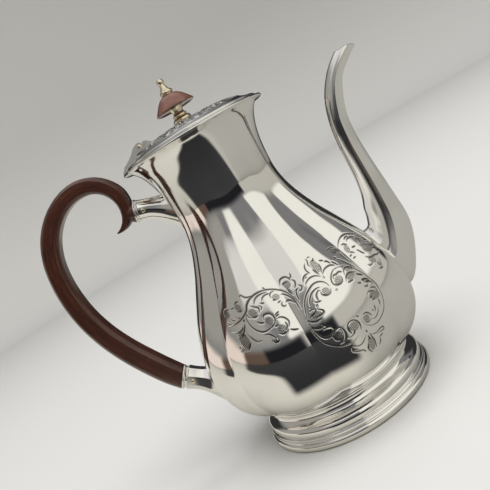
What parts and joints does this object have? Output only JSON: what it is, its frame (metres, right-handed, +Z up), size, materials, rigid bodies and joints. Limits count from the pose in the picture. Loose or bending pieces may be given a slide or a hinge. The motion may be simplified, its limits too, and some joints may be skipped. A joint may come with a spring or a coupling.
{
  "type": "coffee pot",
  "caption": "Lobed silver coffee pot with a hinged domed lid, swan-neck spout, spread foot, and a wooden scroll handle and finial cap.",
  "frame": {"origin": "centre of the foot's underside, on the pot's axis", "axes": "+Z up, +X towards the spout, -X towards the handle; the lid's hinge pin runs along Y"},
  "size_m": [0.2447, 0.141, 0.2403],
  "materials": {
    "polished_silver": "mirror polished silver, with engraved scrollwork on the belly and lid",
    "warm_silver": "polished silver, slightly warm in tone",
    "wood": "reddish-brown hardwood, polished to a gloss"
  },
  "bodies": {
    "pot": {"body": "polished_silver", "rim_flange": "polished_silver", "foot": "polished_silver", "foot_wire": "polished_silver", "spout": "polished_silver", "rear_segment": "polished_silver", "hinge_bracket": "polished_silver", "hinge_pin": "warm_silver", "upper_socket": "polished_silver", "upper_collar": "polished_silver", "lower_socket": "polished_silver", "lower_collar": "polished_silver", "handle_grip": "wood", "upper_handle_pin": "warm_silver", "lower_handle_pin": "warm_silver"},
    "lid": {"lid": "polished_silver", "lid_edge": "polished_silver", "lid_bezel": "polished_silver", "hinge_leaf": "polished_silver", "finial_base": "warm_silver", "finial_cap": "wood", "finial_tip": "warm_silver", "finial_rod": "warm_silver", "finial_washer": "warm_silver", "finial_nut": "warm_silver"}
  },
  "joints": [
    {"name": "lid_hinge", "type": "hinge", "parent": "pot", "child": "lid", "pos_m": [-0.0309, 0, 0.2105], "axis": [0, -1, 0], "range_deg": [0, 100]}
  ]
}
